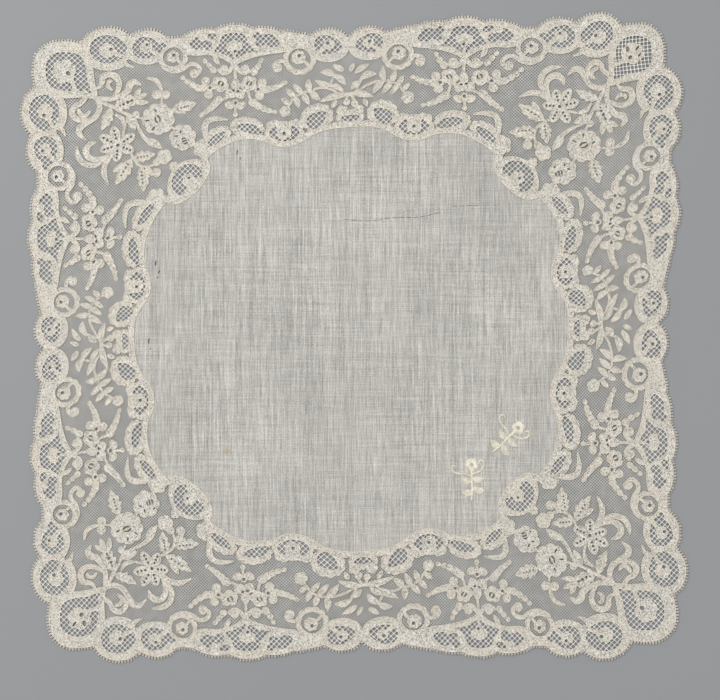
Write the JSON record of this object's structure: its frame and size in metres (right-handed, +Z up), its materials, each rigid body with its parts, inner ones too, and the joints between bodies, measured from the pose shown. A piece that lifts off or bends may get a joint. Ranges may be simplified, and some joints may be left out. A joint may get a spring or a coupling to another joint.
{
  "type": "lace handkerchief",
  "caption": "Square handkerchief laid flat, with a plain linen centre, a deep lace border of flower sprays on fine net, and a scalloped edge.",
  "frame": {"origin": "middle of the bounding box, on the underside that rests on a table", "axes": "+Z up from the cloth, +X along the slightly longer pair of sides, to the right in the picture"},
  "size_m": [0.454, 0.442, 0.002],
  "materials": {
    "linen": "sheer plain weave, uneven threads",
    "net": "fine open net",
    "cloth_work": "dense matt cotton cloth work",
    "embroidery": "raised satin stitch, cream"
  },
  "bodies": {
    "root": {"linen_centre": "linen", "lace_ground": "net", "edge_band": "cloth_work", "inner_band": "cloth_work", "corner_spray_0": "cloth_work", "corner_spray_1": "cloth_work", "corner_spray_2": "cloth_work", "corner_spray_3": "cloth_work", "bouquet_right_0": "cloth_work", "bouquet_left_0": "cloth_work", "bouquet_right_1": "cloth_work", "bouquet_left_1": "cloth_work", "bouquet_right_2": "cloth_work", "bouquet_left_2": "cloth_work", "bouquet_right_3": "cloth_work", "bouquet_left_3": "cloth_work", "side_spray_0": "cloth_work", "side_spray_1": "cloth_work", "side_spray_2": "cloth_work", "side_spray_3": "cloth_work", "sprig_0": "embroidery", "sprig_1": "embroidery"}
  },
  "joints": []
}
